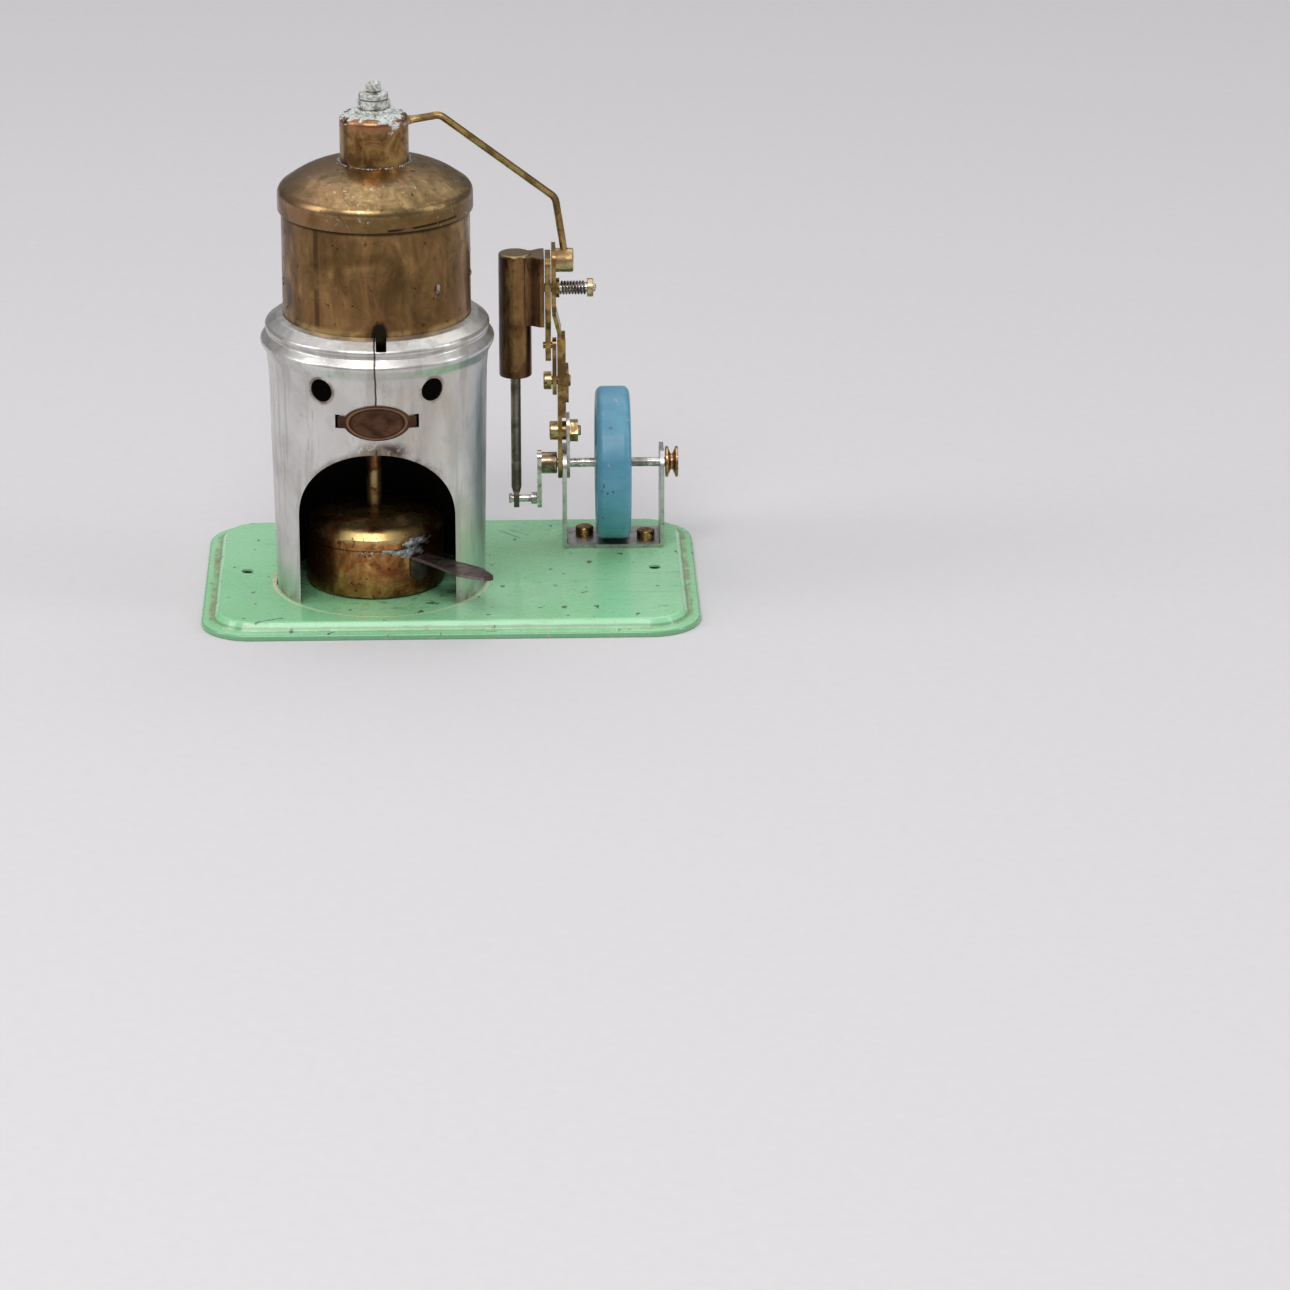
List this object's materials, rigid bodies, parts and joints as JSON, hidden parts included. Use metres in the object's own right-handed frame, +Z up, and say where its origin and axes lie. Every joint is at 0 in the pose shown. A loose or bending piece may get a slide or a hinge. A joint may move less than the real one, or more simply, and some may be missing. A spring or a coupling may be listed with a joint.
{
  "type": "model steam engine",
  "caption": "Toy steam engine: upright spirit-fired boiler in a sheet firebox, oscillating cylinder on an upright, crank, flywheel and pulley, on a pressed rectangular base plate.",
  "frame": {"origin": "centre of the base plate's underside, on the surface the engine stands on", "axes": "+X towards the flywheel end, -Y towards the stoking arch, +Z up"},
  "size_m": [0.135, 0.0913, 0.1443],
  "materials": {
    "mint_enamel": "glossy stoved enamel, chipped and stained",
    "firebox_aluminium": "dull rolled sheet",
    "bracket_steel": "tinned sheet, lightly tarnished",
    "dark_brass": "darkened",
    "boiler_brass": "aged, brown",
    "valve_brass": "nickelled, with white and green corrosion",
    "pipe_brass": "aged",
    "engine_brass": "aged",
    "bright_brass": "bright, worn",
    "burner_brass": "reddish, heat stained",
    "bright_steel": "bright, lightly tarnished",
    "dark_steel": "dark, oiled",
    "blue_enamel": "satin enamel, chipped",
    "copper": "coppery, worn",
    "wick_cotton": "plain cotton, charred at the tip"
  },
  "bodies": {
    "frame": {"base_plate": "mint_enamel", "firebox": "firebox_aluminium", "nameplate": "dark_brass", "boiler_drum": "boiler_brass", "boiler_lid": "boiler_brass", "steam_dome": "boiler_brass", "filler_bush": "valve_brass", "steam_pipe": "pipe_brass", "steam_inlet_boss": "bright_brass", "engine_standard": "engine_brass", "flywheel_bracket": "bracket_steel", "clamp_plate": "bracket_steel", "clamp_spacer": "engine_brass", "clamp_screw": "bright_brass", "clamp_nut": "bright_brass", "bracket_screws": "bright_brass", "bracket_nuts": "bright_brass", "lever_screw": "bright_brass", "lever_backing_plate": "engine_brass"},
    "burner": {"burner_tank": "burner_brass", "burner_lid": "burner_brass", "wick_tube": "burner_brass", "wick": "wick_cotton", "burner_handle": "dark_steel"},
    "valve_washer_body": {"valve_washer": "valve_brass"},
    "safety_valve": {"safety_valve_body": "valve_brass", "valve_spring": "dark_steel"},
    "valve_stem_body": {"valve_stem": "valve_brass"},
    "regulator": {"regulator_lever": "engine_brass"},
    "reversing_valve": {"reversing_valve_plate": "engine_brass"},
    "cylinder": {"cylinder_tube": "engine_brass", "cylinder_cap": "engine_brass", "port_block": "engine_brass", "pivot_pin": "bright_steel", "pivot_nut": "bright_brass", "pivot_spring": "dark_steel"},
    "piston_assembly": {"piston": "dark_steel", "piston_rod": "dark_steel", "crank_pin": "bright_steel"},
    "crank": {"crank_arm": "bright_steel", "crank_hub": "bright_steel", "crankshaft": "bright_steel", "flywheel": "blue_enamel", "pulley": "copper"}
  },
  "joints": [
    {"name": "burner_slide", "type": "slide", "parent": "frame", "child": "burner", "axis": [0, -1, 0], "range_m": [0, 0.09]},
    {"name": "valve_rise", "type": "slide", "parent": "frame", "child": "valve_washer_body", "axis": [0, 0, 1], "range_m": [0, 0.0048]},
    {"name": "valve_unscrew", "type": "hinge", "parent": "valve_washer_body", "child": "safety_valve", "pos_m": [-0.0191, -0.0082, 0.1375], "axis": [0, 0, 1], "range_deg": [0, 2160.5]},
    {"name": "valve_lift", "type": "slide", "parent": "safety_valve", "child": "valve_stem_body", "axis": [0, 0, 1], "range_m": [0, 0.0015], "stiffness_N_per_m": 200, "springref_m": -0.002, "deforming": ["valve_spring"]},
    {"name": "regulator_swing", "type": "hinge", "parent": "frame", "child": "regulator", "pos_m": [0.029, 0.0234, 0.0505], "axis": [1, 0, 0], "range_deg": [-15, 15]},
    {"name": "reversing_swing", "type": "hinge", "parent": "frame", "child": "reversing_valve", "pos_m": [0.02735, 0.0234, 0.0772], "axis": [1, 0, 0], "range_deg": [-9.5, 9.5]},
    {"name": "cylinder_swing", "type": "hinge", "parent": "frame", "child": "cylinder", "pos_m": [0.024, 0.0234, 0.0772], "axis": [1, 0, 0], "range_deg": [-12, 12]},
    {"name": "piston_slide", "type": "slide", "parent": "cylinder", "child": "piston_assembly", "axis": [0, 0, 1], "range_m": [0, 0.0206]},
    {"name": "crank_spin", "type": "hinge", "parent": "frame", "child": "crank", "pos_m": [0.042, 0.0234, 0.0265], "axis": [1, 0, 0], "continuous": true}
  ],
  "couplings": [
    {"joint": "valve_unscrew", "follows": "valve_rise", "rad_per_m": 7854},
    {"joint": "reversing_swing", "follows": "regulator_swing", "ratio": -0.606}
  ]
}
